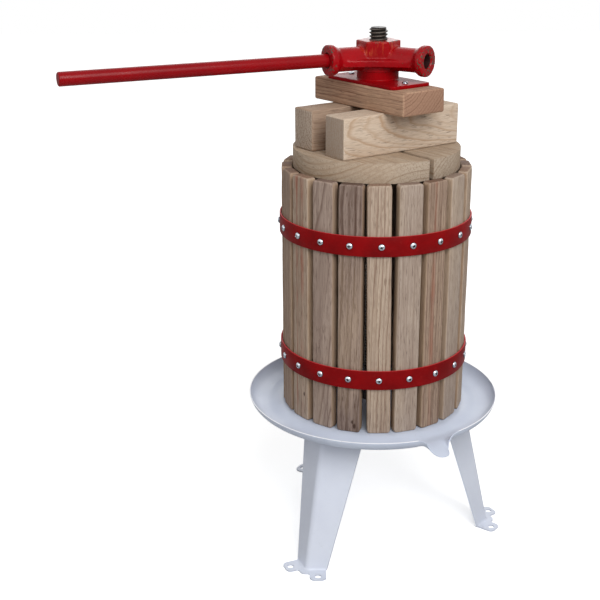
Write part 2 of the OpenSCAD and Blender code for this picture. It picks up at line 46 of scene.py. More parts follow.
CAMERA_PLACE = (-0.117, -1.694, 1.003)
CAMERA_LENS = 67.98
CAMERA_DOWN = 19.81
CAMERA_ROLL = -0.29

camera_data = bpy.data.cameras.new("camera")
camera_data.sensor_width = 36
camera_data.lens = CAMERA_LENS
camera = bpy.data.objects.new("camera", camera_data)
scene.collection.objects.link(camera)
camera.matrix_world = (Matrix.Translation(CAMERA_PLACE)
                       @ Matrix.Rotation(math.radians(90 - CAMERA_DOWN), 4, "X")
                       @ Matrix.Rotation(math.radians(CAMERA_ROLL), 4, "Z"))
scene.camera = camera
scene.view_settings.view_transform = "Standard"

# Sizes in millimetres, most of them the CAD part's, and directions in degrees

MM = 0.001
MERGE_GAP = MM / 200
OVERRUN = 4

BASKET_R = 128
SLAT_COUNT = 20
SLAT_STEP = 360 / SLAT_COUNT
SLAT_T = 16
SLAT_W = 36.5
SLAT_Z = 228.1
SLAT_TOP = 614.1
SLAT_MIDDLE = (SLAT_Z + SLAT_TOP) / 2
SLAT_EDGE = 5
SLAT_END_EDGE = 2.8

HOOP_W = 30
HOOP_T = 3
HOOP_IN_R = 144.96
HOOP_OUT_R = HOOP_IN_R + HOOP_T
HOOP_EDGE = 0.9
HOOP_SIDES = 160
HOOP_HEIGHTS = (("lower", 317.1), ("upper", 525.1))
LAP_ANGLE = 171
LAP_HALF = 6.56
LAP_EDGE = 0.7
SCREW_HEAD_D = 10
SCREW_HEAD_H = 3.2

TRAY_Z = 228
TRAY_T = 1.6
TRAY_EDGE = 0.5
SLOPE_FROM_R = 147
SLOPE_TO_R = 172
GUTTER_OUT_R = 177.7
GUTTER_Z = 222.5
RIM_R = 21
RIM_TURN = math.radians(80.4)
RIM_REACH = RIM_R * math.sin(RIM_TURN)
RIM_RISE = RIM_R * (1 - math.cos(RIM_TURN))
RIM_EDGE_R = GUTTER_OUT_R + RIM_REACH
LIP_ANGLE = 27.2
LIP_FLANK = 38
LIP_OPEN = 0.45
LIP_EDGE = ((215.4, 0, 213.8), (213.4, 7.4, 214.0), (206.9, 12.2, 214.8), (200.4, 14.2, 217.6),
            (196.6, 16.6, 223.4), (194.9, 20.8, 230.6), (194.6, 27.6, 236.8))

POST_R = 13.5
POST_Z = 195.4
POST_TOP = 816.6
POST_CHAMFER = 3
POST_GAP = 2.5
PITCH = 5
THREAD_DEPTH = 2.3
THREAD_CREST = 1.5
THREAD_GROOVE = (2.4, 4.1)

DISC_R = 125.4
DISC_T = 28
DISC_WIDER = 1.4
DISC_LOWER = 1.8
DISC_EDGE = 1.4
DISC_SPLIT = 8
BLOCK_ANGLE = 35
BLOCK_OFF = 38.5
BLOCK_W = 46
BLOCK_Z = 642.1
BLOCK_TOP = 702.6
BLOCK_L = 217.05
WOOD_EDGE = 3
TOP_ANGLE = -53.4
TOP_BLOCK_L = 206.2
TOP_BLOCK_W = 79

PLATE_Z = 737.1
PLATE_TOP = 742.1
PLATE_L = 154.2
PLATE_W = 74
PLATE_CORNER_R = 8
PLATE_SCREW_INSET = 16
CUP_R = 31
CUP_IN_R = 26
CUP_TOP = 755.1
RING_ROOM_R = 27.5
RING_ROOM_H = 10

SOCKET_Z = 773.1
SOCKET_START = 16
SOCKET_END = 29
SOCKET_REACH = 84
TUBE_REACH = 82
SOCKET_IN_R = 10.1
SOCKET_OUT_R = 17.5
COLLAR_R = 22.5
COLLAR_T = 8.5
MOUTH_R = 12.4
MOUTH_START = SOCKET_REACH - 2.5
MOUTH_END = SOCKET_REACH + 0.5
HEAD_ANGLE = 54.4
HUB_R = 33
HUB_TOP = 798.6
HUB_TURN = 24.4
CORE_SINK = 4
SKIRT_R = 25.5
SKIRT_Z = 745.3
SKIRT_H = 20
SKIRT_GAP = 0.3
UNDER_R = 44
NECK_R = 18.6
NECK_Z = 732.2
NECK_H = 34
NECK_GAP = 0.2
THREAD_GAP = 0.15
WEB_R = 66
WEB_T = 10
WEB_DROP = 4.5
HOLLOW_R = 157.4
HOLLOW_OFF = 197.4


def facing(angle):
    """A flat direction, counted in degrees from the front towards the right."""
    return Vector((math.sin(math.radians(angle)), -math.cos(math.radians(angle)), 0))


def at_height(z):
    return Vector((0, 0, z))


def eased(share):
    """Eases a share from 0 to 1 at both ends."""
    return share * share * (3 - 2 * share)


SOCKET_ANGLES = [HEAD_ANGLE + 120 * i for i in range(3)]


# Ways to model

def rest():
    """Object mode with nothing selected."""
    if bpy.context.mode != "OBJECT":
        bpy.ops.object.mode_set(mode="OBJECT")
    bpy.ops.object.select_all(action="DESELECT")


def take(piece, *others):
    """Selects pieces, and makes the first one active."""
    rest()
    for each in (piece, *others):
        each.select_set(True)
    bpy.context.view_layer.objects.active = piece


def named(piece, name):
    piece.name = piece.data.name = name
    return piece


def settle(piece):
    """Puts a piece's place, turn and size into its mesh."""
    take(piece)
    bpy.ops.object.transform_apply(location=True, rotation=True, scale=True)
    return piece


def modify(piece, kind, **settings):
    """Adds a modifier and applies it."""
    take(piece)
    made = piece.modifiers.new(kind.lower(), kind)
    for key, value in settings.items():
        setattr(made, key, value)
    bpy.ops.object.modifier_apply(modifier=made.name)
    return piece


def round_off(piece, width, segments, angle):
    """Bevels every edge that is sharper than the angle."""
    return modify(piece, "BEVEL", width=width * MM, segments=segments, limit_method="ANGLE",
                  angle_limit=math.radians(angle))


def shape(piece, kind, rule, operator, **settings):
    """Runs an operator in edit mode on the edges or faces that the rule picks. The rule gets
    an edge's middle and its run, or a face's middle and its normal."""
    take(piece)
    bpy.ops.object.mode_set(mode="EDIT")
    bpy.ops.mesh.select_mode(type=kind)
    bpy.ops.mesh.select_all(action="DESELECT")
    bpy.ops.object.mode_set(mode="OBJECT")
    mesh = piece.data
    if kind == "EDGE":
        for edge in mesh.edges:
            a, b = (mesh.vertices[i].co for i in edge.vertices)
            edge.select = rule((a + b) / 2, b - a)
    else:
        for face in mesh.polygons:
            face.select = rule(face.center, face.normal)
    bpy.ops.object.mode_set(mode="EDIT")
    operator(**settings)
    bpy.ops.object.mode_set(mode="OBJECT")
    return piece


def anywhere(middle, way):
    return True


def slice_off(piece, place, way):
    """Cuts a piece through a place, closes the cut and keeps what lies that way."""
    shape(piece, "FACE", anywhere, bpy.ops.mesh.bisect, plane_co=place, plane_no=way,
          use_fill=True, clear_inner=True)


def rod(radius, length, centre, way=(0, 0, 1), top=None, sides=72, turn=0):
    """A round bar, or a cone that ends in the radius top, with its middle at centre."""
    rest()
    angles = (Vector(way).to_track_quat("Z", "Y").to_matrix()
              @ Matrix.Rotation(math.radians(turn), 3, "Z")).to_euler()
    place = Vector(centre) * MM
    if top is None:
        bpy.ops.mesh.primitive_cylinder_add(vertices=sides, radius=radius * MM,
                                            depth=length * MM, location=place, rotation=angles)
    else:
        bpy.ops.mesh.primitive_cone_add(vertices=sides, radius1=radius * MM, radius2=top * MM,
                                        depth=length * MM, location=place, rotation=angles)
    return settle(bpy.context.object)


def upright(radius, low, high, **more):
    """A round bar on the post's axis, between two heights."""
    return rod(radius, high - low, at_height((low + high) / 2), **more)


def spoke(angle, start, end, radius, top=None):
    """A round bar or cone at the sockets' height, from start to end in a flat direction."""
    away = facing(angle)
    return rod(radius, end - start, at_height(SOCKET_Z) + away * (start + end) / 2, away, top)


def slab(size, centre, turn=0):
    """A square-edged block, turned about the upright."""
    rest()
    bpy.ops.mesh.primitive_cube_add(size=1, location=Vector(centre) * MM,
                                    rotation=(0, 0, math.radians(turn)))
    made = bpy.context.object
    made.scale = Vector(size) * MM
    return settle(made)


def cut(piece, *tools, kind="DIFFERENCE"):
    for tool in tools:
        modify(piece, "BOOLEAN", object=tool, operation=kind, solver="EXACT")
        bpy.data.objects.remove(tool)
    return piece


def draw_line(name, points):
    """Extrudes one vertex through points in millimetres, as a section is drawn by hand."""
    rest()
    points = [Vector(point) * MM for point in points]
    bpy.ops.mesh.primitive_plane_add(size=MM, location=(0, 0, 0))
    line = named(bpy.context.object, name)
    bpy.ops.object.mode_set(mode="EDIT")
    bpy.ops.mesh.select_mode(type="VERT")
    bpy.ops.mesh.select_all(action="SELECT")
    bpy.ops.mesh.merge(type="CENTER")
    bpy.ops.transform.translate(value=points[0])
    for here, there in zip(points, points[1:]):
        bpy.ops.mesh.extrude_region_move(TRANSFORM_OT_translate={"value": there - here})
    bpy.ops.object.mode_set(mode="OBJECT")
    return line


def close_up(piece):
    """Merges doubled vertices and turns the faces outwards."""
    take(piece)
    bpy.ops.object.mode_set(mode="EDIT")
    bpy.ops.mesh.select_all(action="SELECT")
    bpy.ops.mesh.remove_doubles(threshold=MERGE_GAP)
    bpy.ops.mesh.normals_make_consistent(inside=False)
    bpy.ops.object.mode_set(mode="OBJECT")
    return piece


def spin_round(line, steps):
    """Turns a drawn section all the way round the post's axis."""
    take(line)
    bpy.ops.object.mode_set(mode="EDIT")
    bpy.ops.mesh.select_mode(type="VERT")
    bpy.ops.mesh.select_all(action="SELECT")
    bpy.ops.mesh.spin(steps=steps, angle=math.tau, center=(0, 0, 0), axis=(0, 0, 1),
                      use_auto_merge=True)
    return close_up(line)


def repeat(master, name, places):
    """Copies a modelled piece to each place, and joins the copies into one piece."""
    made = []
    for place in places:
        one = bpy.data.objects.new(name, master.data.copy())
        scene.collection.objects.link(one)
        one.data.transform(place)
        made.append(one)
    take(*made)
    if len(made) > 1:
        bpy.ops.object.join()
    return named(made[0], name)


def cast(name, shapes, grain, rounds):
    """Melts shapes into one casting with round edges and fillets, as sand leaves them."""
    take(*shapes)
    bpy.ops.object.join()
    piece = named(bpy.context.object, name)
    modify(piece, "REMESH", mode="VOXEL", voxel_size=grain * MM)
    return modify(piece, "SMOOTH", factor=0.5, iterations=rounds)


def wear(piece, size, depth):
    """Moves the surface a little in and out, with waves of that size."""
    cloud = bpy.data.textures.new(piece.name, "CLOUDS")
    cloud.noise_scale = size * MM
    cloud.noise_depth = 1
    modify(piece, "DISPLACE", texture=cloud, texture_coords="GLOBAL", strength=depth * MM,
           mid_level=0.5)
    bpy.data.textures.remove(cloud)
    return piece


def paint(piece, finish):
    piece.data.materials.clear()
    piece.data.materials.append(finish)


def fit(piece, body, slot, finish, *replaced, smooth=35):
    """Gives a finished piece its paint, its body and the CAD nodes that it stands for."""
    paint(piece, finish)
    take(piece)
    bpy.ops.object.shade_smooth_by_angle(angle=math.radians(smooth))
    rest()
    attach(piece, body)
    if replaced:
        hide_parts(*replaced)


# Ways to make a finish

def srgb(red, green, blue):
    """A colour written as 0 to 255 steps, as the shader's linear values."""
    def linear(step):
        share = step / 255
        return share / 12.92 if share <= 0.04045 else ((share + 0.055) / 1.055) ** 2.4
    return (linear(red), linear(green), linear(blue), 1)


def blend(first, second, share):
    return tuple(a + (b - a) * share for a, b in zip(first, second))


class Graph:
    """A node tree and short ways to add to it. Inputs are sockets or plain values."""

    def __init__(self, tree):
        self.tree = tree

    def feed(self, socket, value):
        if isinstance(value, bpy.types.NodeSocket):
            self.tree.links.new(value, socket)
        else:
            socket.default_value = value

    def add(self, kind, inputs=(), **settings):
        made = self.tree.nodes.new("ShaderNode" + kind)
        for key, value in settings.items():
            setattr(made, key, value)
        for key, value in dict(inputs).items():
            self.feed(made.inputs[key], value)
        return made

    def reckon(self, kind, first, second=0.0):
        return self.add("Math", {0: first, 1: second}, operation=kind).outputs[0]

    def plus(self, first, second):
        return self.reckon("ADD", first, second)

    def minus(self, first, second):
        return self.reckon("SUBTRACT", first, second)

    def times(self, first, second):
        return self.reckon("MULTIPLY", first, second)

    def larger(self, first, second):
        return self.reckon("MAXIMUM", first, second)

    def absolute(self, source):
        return self.reckon("ABSOLUTE", source)

    def between(self, source, low, high, to_low=0.0, to_high=1.0):
        """Brings a number from the range low to high into another range, and holds it there."""
        return self.add("MapRange", {"Value": source, "From Min": low, "From Max": high,
                                     "To Min": to_low, "To Max": to_high}).outputs[0]

    def mix(self, share, first, second):
        return self.add("Mix", {0: share, 6: first, 7: second}, data_type="RGBA").outputs[2]

    def lay(self, colour, tint, source, low, high, share=1.0):
        """Lays a tint over a colour where the source goes from low to high."""
        return self.mix(self.between(source, low, high, 0.0, share), colour, tint)

    def mapped(self, source, turn=(0, 0, 0), move=(0, 0, 0), scale=(1, 1, 1)):
        return self.add("Mapping", {"Vector": source, "Rotation": turn, "Location": move,
                                    "Scale": scale}).outputs[0]

    def noise(self, source, scale, detail=3, rough=0.5, warp=0):
        """Cloudy noise with so many waves to the metre. Three scales draw it out."""
        if isinstance(scale, tuple):
            source, scale = self.mapped(source, scale=scale), 1
        return self.add("TexNoise", {"Vector": source, "Scale": scale, "Detail": detail,
                                     "Roughness": rough, "Distortion": warp}).outputs[0]

    def length(self, source):
        return self.add("VectorMath", {0: source}, operation="LENGTH").outputs["Value"]

    def parts(self, source):
        return self.add("SeparateXYZ", {0: source}).outputs

    def steps(self, source, stops):
        """Turns a number into a grey by stops of (place, grey)."""
        ramp = self.add("ValToRGB", {"Fac": source})
        elements = ramp.color_ramp.elements
        while len(elements) < len(stops):
            elements.new(0.5)
        for element, (place, grey) in zip(elements, stops):
            element.position = place
            element.color = (grey, grey, grey, 1)
        return ramp.outputs[0]

    def bump(self, height, strength, distance):
        return self.add("Bump", {"Height": height, "Strength": strength,
                                 "Distance": distance}).outputs[0]


class Finish(Graph):
    """A material, which reads the object's own coordinates."""

    def __init__(self, name):
        self.material = bpy.data.materials.new(name)
        self.material.use_nodes = True
        super().__init__(self.material.node_tree)
        self.shader = self.tree.nodes["Principled BSDF"]
        coordinates = self.add("TexCoord")
        self.place = coordinates.outputs["Object"]
        self.normal = coordinates.outputs["Normal"]

    def from_axis(self):
        """How far a point lies from the post's axis."""
        return self.length(self.mapped(self.place, scale=(1, 1, 0)))

    def set(self, **sockets):
        """Feeds the shader's sockets, with _ for each space in a name."""
        for key, value in sockets.items():
            self.feed(self.shader.inputs[key.replace("_", " ")], value)
        return self.material


# Wood

DEEP_BROWN = srgb(78, 54, 42)
PORE_BROWN = srgb(84, 60, 48)
KNOT_BROWN = srgb(62, 42, 32)
FADED = srgb(190, 166, 138)
ROSY = srgb(150, 92, 72)
LATE_WOOD = ((0.0, 0.45), (0.08, 0.0), (0.62, 0.10), (0.90, 1.0), (1.0, 0.45))
WAVE_DEPTH = 0.016
SWAY_DEPTH = 0.0035
STREAK_SWAY = 0.012


class Oak(Finish):
    """Sawn oak. The turns bring the board's grain to Z, centre is its middle in mm, and the
    seed picks where in the wood it was cut."""

    def __init__(self, name, seed, turns, centre):
        super().__init__(name)
        self.board = self.mapped(self.place, move=[-c * MM for c in centre])
        way = self.normal
        for turn in turns:
            self.board = self.mapped(self.board, turn=turn)
            way = self.mapped(way, turn=turn)
        self.facing_face, self.facing_side, self.facing_end = (
            self.absolute(part) for part in self.parts(way))
        draw = random.Random(seed)
        drift = self.mapped(self.board, move=[draw.uniform(-9, 9) for _ in range(3)])
        self.wave = self.noise(drift, (13, 13, 3.4), 2)
        self.sway = self.noise(drift, (60, 60, 14), 2)
        self.patch = self.noise(drift, (17, 17, 4), 3, 0.6)
        self.thread = self.noise(drift, (210, 210, 5), 2, 0.6)
        self.dash = self.noise(drift, (560, 560, 46), 3, 0.6)
        self.fibre = self.noise(drift, (620, 620, 12), 3, 0.6)
        self.pore = self.noise(drift, (1300, 1300, 60), 1)
        self.speck = self.noise(drift, (430, 430, 1), 2, 0.6)

    def years(self, heart, slant, ring, figure):
        """Each point's share of its year, and how much dark late wood it has. Some years have
        more of it than others."""
        away, distance = math.radians(heart[0]), heart[1] * MM
        rings = self.mapped(self.board, turn=[math.radians(s) for s in (*slant, 0)])
        rings = self.mapped(rings, scale=(1, 1, 0),
                            move=(math.cos(away) * distance, math.sin(away) * distance, 0))
        count = self.plus(self.length(rings), self.times(self.wave, WAVE_DEPTH * figure))
        count = self.plus(count, self.times(self.sway, SWAY_DEPTH * figure))
        count = self.times(count, 1 / (ring * MM))
        year = self.add("TexWhiteNoise", {"W": self.reckon("FLOOR", count)},
                        noise_dimensions="1D").outputs["Value"]
        share = self.reckon("FRACT", count)
        late = self.times(self.steps(share, LATE_WOOD), self.between(year, 0, 1, 0.2, 1.0))
        return share, late

    def streak(self, colour, across, width):
        """A rosy streak along the grain, broken into patches."""
        off = self.absolute(self.minus(self.parts(self.board)[1], across * MM))
        off = self.plus(off, self.times(self.minus(self.sway, 0.5), STREAK_SWAY))
        share = self.between(off, width * MM / 2, 0)
        share = self.times(share, self.between(self.patch, 0.36, 0.60, 0.15, 0.8))
        share = self.times(share, self.between(self.thread, 0.3, 0.6, 0.35, 1.0))
        return self.mix(share, colour, ROSY)

    def knot(self, colour, place, size):
        """A small dark knot with a frayed edge, longer along the grain."""
        off = self.mapped(self.board, move=[-p * MM for p in place])
        off = self.mapped(off, scale=(1 / size / MM, 1 / size / MM, 0.55 / size / MM))
        off = self.plus(self.length(off), self.times(self.minus(self.dash, 0.3), 2.2))
        return self.lay(colour, KNOT_BROWN, off, 1.7, 1.0, 0.9)


def oak(name, light, dark, seed, turns, centre, heart, slant=(0, 0), ring=5.2, lines=0.9,
        figure=1.0, grain=1.0, streaks=(), knots=(), sides=None, end=None, speckle=0.6):
    """An oak board's finish, from its light and dark tones. The tree's heart lies in the
    direction heart[0], at heart[1] mm, and slant leans it in degrees, which draws pointed
    arches. ring is the width of a year in mm, lines how dark the years are, figure how much
    they wave, and grain how dark the dashes are. sides tints the narrow faces, and end the
    sawn ones, which also have specks."""
    f = Oak(name, seed, turns, centre)
    year_share, late = f.years(heart, slant, ring, figure)
    deep = blend(dark, DEEP_BROWN, 0.45)
    colour = f.mix(f.times(late, min(1, lines)), light, blend(dark, deep, max(0, lines - 1)))
    for tint, source, low, high, share in (
            (dark, f.thread, 0.45, 0.72, 0.5 * grain), (deep, f.fibre, 0.38, 0.74, 0.38 * grain),
            (deep, f.dash, 0.56, 0.68, 0.6 * grain), (light, f.dash, 0.42, 0.30, 0.40 * grain),
            (dark, f.patch, 0.42, 0.70, 0.30), (FADED, f.patch, 0.50, 0.28, 0.30)):
        colour = f.lay(colour, tint, source, low, high, share)
    for across, width in streaks:
        colour = f.streak(colour, across, width)
    pores = f.times(f.between(f.pore, 0.58, 0.66), f.between(year_share, 0.7, 0.1, 0.25, 1.0))
    colour = f.mix(f.times(pores, 0.65), colour, PORE_BROWN)
    for place, size in knots:
        colour = f.knot(colour, place, size)
    if sides:
        colour = f.lay(colour, sides, f.facing_side, 0.6, 0.95, 0.6)
    sawn = f.mix(f.times(late, 0.75), end or dark, deep)
    sawn = f.lay(sawn, deep, f.speck, 0.50, 0.66, speckle)
    colour = f.lay(colour, sawn, f.facing_end, 0.80, 0.96, 0.85)
    flat = f.larger(f.facing_end, f.larger(f.facing_face, f.facing_side))
    colour = f.lay(colour, light, flat, 0.97, 0.80, 0.2)
    height = f.minus(f.minus(f.times(f.fibre, 0.6), pores), f.times(late, 0.2))
    return f.set(Base_Color=colour, Roughness=f.between(f.fibre, 0.2, 0.8, 0.66, 0.84),
                 Specular_IOR_Level=0.25, Normal=f.bump(height, 0.5, 0.0006))


# Paint and metal

def enamel(name, main, shade, painted_highlight_above=None):
    """Baked white paint with a blue cast on pressed sheet, with a painted highlight, a pale line,
    above a height.
    """
    f = Finish(name)
    cloud = f.noise(f.place, 14)
    colour = f.lay(main, shade, cloud, 0.35, 0.65)
    # Painted highlight: a pale line along the rim's top edge, above the given height.
    if painted_highlight_above:
        colour = f.lay(colour, srgb(242, 244, 250), f.parts(f.place)[2], painted_highlight_above * MM,
                       (painted_highlight_above + 0.4) * MM)
    colour = f.lay(colour, srgb(170, 172, 178), f.noise(f.place, 60, 4, 0.7), 0.62, 0.80, 0.35)
    colour = f.lay(colour, srgb(130, 130, 134), f.noise(f.place, 700, 2), 0.74, 0.78, 0.5)
    return f.set(Base_Color=colour, Roughness=f.between(cloud, 0.3, 0.7, 0.30, 0.42),
                 Specular_IOR_Level=0.35, Normal=f.bump(f.noise(f.place, 380, 2), 0.10, 0.0008))


def red_coat(name, main, shade, rough, shine, cast_depth=0.0012, edge=None):
    """Red gloss over metal, a little uneven, with a painted highlight in the edge colour on faces
    that look upwards, such as a band's upper edge. Returns the finish and its colour, for more to
    be laid over it."""
    f = Finish(name)
    cloud = f.noise(f.place, 24)
    colour = f.lay(main, shade, cloud, 0.35, 0.7)
    colour = f.lay(colour, srgb(180, 70, 60), f.noise(f.place, 130, 4, 0.7), 0.60, 0.85, 0.18)
    if edge:
        # Painted highlight: the edge colour on faces that look upwards.
        colour = f.lay(colour, edge, f.parts(f.normal)[2], 0.35, 0.75, 0.8)
    height = f.plus(f.times(f.noise(f.place, 320, 2), 0.45), f.noise(f.place, 95))
    f.set(Base_Color=colour, Roughness=f.between(cloud, 0.3, 0.7, rough, rough + 0.12),
          Specular_IOR_Level=shine, Normal=f.bump(height, 0.25, cast_depth))
    return f, colour


def red_paint(name, main, shade, **looks):
    return red_coat(name, main, shade, **looks)[0].material


def worn_head_red(name):
    """The head's red: chips down to the dark primer on the collars and the hub's top, painted
    glints of golden reflection on the hub's faces, and painted shade inside the sockets' bores."""
    f, colour = red_coat(name, srgb(156, 4, 14), srgb(132, 3, 11), rough=0.18, shine=0.15)
    height = f.parts(f.place)[2]
    across = f.from_axis()
    # Painted glints: golden streaks of reflection laid over the hub's faces.
    hub = f.times(f.between(across, (HUB_R + 4) * MM, (HUB_R + 1) * MM),
                  f.between(height, (SOCKET_Z + 2.9) * MM, (SOCKET_Z + 8.9) * MM))
    painted_glints = f.noise(f.place, (420, 420, 44), 4, 0.7, 0.4)
    colour = f.mix(f.times(hub, f.between(painted_glints, 0.52, 0.68, 0.0, 0.55)), colour,
                   srgb(200, 96, 56))
    collar = f.between(across, (SOCKET_REACH - 5.5) * MM, (SOCKET_REACH - 2.5) * MM)
    hub_top = f.times(f.between(height, (HUB_TOP - 4.1) * MM, (HUB_TOP - 1.1) * MM),
                      f.between(across, (HUB_R + 3) * MM, HUB_R * MM))
    chips = f.plus(f.noise(f.place, 260, 3, 0.6), f.times(f.larger(collar, hub_top), 0.15))
    colour = f.lay(colour, srgb(70, 74, 62), chips, 0.715, 0.735)
    # Painted shade: the sockets' bores are painted dark inside, past the collars.
    centred = f.mapped(f.place, move=(0, 0, -SOCKET_Z * MM))
    painted_bore_shade = 0.0
    for angle in SOCKET_ANGLES:
        turned = f.mapped(centred, turn=(0, 0, math.radians(90 - angle)))
        inside = f.between(f.length(f.mapped(turned, scale=(0, 1, 1))),
                           (SOCKET_IN_R + 0.35) * MM, (SOCKET_IN_R + 0.1) * MM)
        reach = f.between(f.parts(turned)[0], (SOCKET_END + 1) * MM, (SOCKET_END + 3) * MM)
        painted_bore_shade = f.larger(painted_bore_shade, f.times(inside, reach))
    return f.set(Base_Color=f.mix(painted_bore_shade, colour, srgb(44, 20, 20)))


def zinc(name):
    """Bright zinc plate, with painted shade where a mesh's own "recess" attribute says so."""
    f = Finish(name)
    cloud = f.noise(f.place, 160)
    recess = f.add("Attribute", attribute_name="recess").outputs["Fac"]
    # Painted shade: near black where the recess attribute is set.
    colour = f.mix(recess, f.mix(cloud, srgb(222, 228, 236), srgb(160, 164, 172)),
                   srgb(26, 24, 26))
    scratch = f.noise(f.place, (900, 900, 120), 2)
    return f.set(Base_Color=colour, Metallic=1.0,
                 Roughness=f.between(cloud, 0.3, 0.7, 0.14, 0.26),
                 Normal=f.bump(scratch, 0.25, 0.0003))


def thread_steel(name):
    """Dark oiled steel, with painted shade in the thread's grooves, so that its crests look
    brighter.
    """
    f = Finish(name)
    cloud = f.noise(f.place, 120)
    grease = f.noise(f.place, 45)
    colour = f.mix(cloud, srgb(128, 120, 112), srgb(88, 80, 74))
    colour = f.lay(colour, srgb(58, 48, 42), grease, 0.5, 0.7, 0.6)
    # Painted shade: darker the deeper a point lies in the thread's grooves.
    colour = f.lay(colour, srgb(34, 28, 25), f.from_axis(), (POST_R - 0.2) * MM,
                   (POST_R - 1.9) * MM)
    return f.set(Base_Color=colour, Metallic=0.85,
                 Roughness=f.between(grease, 0.3, 0.7, 0.30, 0.48),
                 Normal=f.bump(cloud, 0.2, 0.0004))


# The hoops' pale edge colour is a painted highlight along each band's upper edge.
hoop_red = red_paint("hoop_red", srgb(134, 6, 10), srgb(108, 5, 8), rough=0.34, shine=0.08,
                     cast_depth=0.0006, edge=srgb(196, 60, 62))
plate_red = red_paint("plate_red", srgb(150, 5, 12), srgb(122, 4, 10), rough=0.30, shine=0.05)
bar_red = red_paint("bar_red", srgb(138, 4, 12), srgb(126, 3, 12), rough=0.22, shine=0.14,
                    cast_depth=0.0002)
# The tray's enamel is darker and bluer than the legs': painted shade from the basket over it.
tray_enamel = enamel("tray_enamel", srgb(200, 208, 224), srgb(193, 201, 218), painted_highlight_above=238.9)
leg_enamel = enamel("leg_enamel", srgb(216, 221, 233), srgb(209, 214, 227))
zinc_plate = zinc("zinc")
dark_steel = thread_steel("thread_steel")

# Slats, each a little out of its place, leaning and worn, and from another part of a tree

TAN = (srgb(186, 168, 150), srgb(132, 104, 85))
GREY = (srgb(170, 151, 138), srgb(112, 91, 80))
BROWN = (srgb(170, 148, 130), srgb(108, 82, 66))
PALE = (srgb(178, 162, 148), srgb(128, 106, 92))
DARK = (srgb(154, 135, 124), srgb(84, 64, 54))
SLAT_SIDES = srgb(158, 132, 106)
# Places and widths are in mm, and leans in degrees. A streak is its place across the board and
# its width, and a knot is its place on the board's outer face and its radius.
SLATS = (
    # aside, wider, lean, heart, slant, tones, lines, grain, streaks
    (-1.4, -1.2, -0.8, (84, 70), (1.2, 0.6), TAN, 1.5, 0.9, ()),
    (-2.1, 0.2, 0, (100, 120), (0, 0.5), PALE, 0.6, 0.9, ()),
    (-3.0, 0.0, 0, (84, 80), (0, 0), BROWN, 1.0, 1.1, ((-7, 10),)),
    (-1.5, 1.5, 0, (95, 110), (0, 0), PALE, 0.6, 0.7, ()),
    (0.5, 0.5, 0, (88, 90), (0, 0), TAN, 0.9, 0.9, ()),
    (0.4, -0.6, 0.3, (20, 70), (3, 0), GREY, 1.0, 0.8, ()),
    (-0.8, 0.4, 0, (92, 100), (0, 0), BROWN, 0.9, 1.0, ((4, 7),)),
    (0.9, -0.3, -0.2, (85, 85), (0, 0), TAN, 1.3, 0.8, ()),
    (-0.4, 0.2, 0, (0, 60), (4, 0), PALE, 1.0, 0.7, ()),
    (0.7, 0.6, 0.2, (96, 115), (0, 0), GREY, 0.9, 1.0, ()),
    (-0.9, -0.5, 0, (90, 85), (0, 0), TAN, 1.1, 0.9, ()),
    (0.3, 0.3, 0.3, (15, 65), (-3, 0), BROWN, 1.0, 1.0, ()),
    (-0.6, 0.0, 0, (84, 95), (0, 0), PALE, 0.8, 0.8, ()),
    (0.8, -0.6, -0.3, (90, 110), (0, 0), GREY, 0.9, 1.0, ((-7, 6),)),
    (-0.2, 0.4, 0, (5, 70), (3.5, 0), TAN, 1.2, 0.8, ()),
    (0.5, 0.2, 0.2, (93, 90), (0, 0), BROWN, 0.9, 1.0, ()),
    (0.0, 0.0, 0, (95, 100), (0, 0), BROWN, 1.0, 0.8, ()),
    (-0.4, 1.2, 0, (86, 90), (0, 0), TAN, 1.5, 1.2, ((5, 8), (-8, 4))),
    (0.2, -1.0, 0, (2, 50), (10, 0), GREY, 1.2, 0.8, ()),
    (-0.3, -0.6, 0, (40, 75), (2, 0), DARK, 1.0, 1.5, ()),
)
SLAT_KNOTS = {2: (((8, 6, 110), 1.3),), 7: (((8, 5, -90), 1.8),), 11: (((8, -6, 40), 2.6),),
              18: (((8, 9, -150), 1.8), ((8, 8, -120), 1.4)),
              20: (((8, 9, -182), 2.6), ((8, 6, -176), 1.8), ((8, -4, 112), 2.4))}


def slat_blank():
    """One slat at the front of the basket, with its long edges rounded and its ends eased."""
    blank = slab((SLAT_W, SLAT_T, SLAT_TOP - SLAT_Z), (0, -BASKET_R - SLAT_T / 2, SLAT_MIDDLE))
    shape(blank, "EDGE", lambda middle, run: abs(run.y) > 10 * MM, bpy.ops.mesh.bevel,
          offset=SLAT_EDGE * MM, segments=4)
    round_off(blank, SLAT_END_EDGE, segments=4, angle=50)
    return shape(blank, "EDGE", lambda middle, run: abs(run.z) > 300 * MM,
                 bpy.ops.mesh.subdivide, number_cuts=34)


def slat_place(angle, aside, wider, lean):
    """Leans a widened slat about its middle, moves it aside and takes it round the basket."""
    return (Matrix.Rotation(math.radians(angle), 4, "Z")
            @ Matrix.Translation((aside * MM, 0, SLAT_MIDDLE * MM))
            @ Matrix.Rotation(math.radians(lean), 4, "Y")
            @ Matrix.Translation((0, 0, -SLAT_MIDDLE * MM))
            @ Matrix.Diagonal(((SLAT_W + wider) / SLAT_W, 1, 1, 1)))


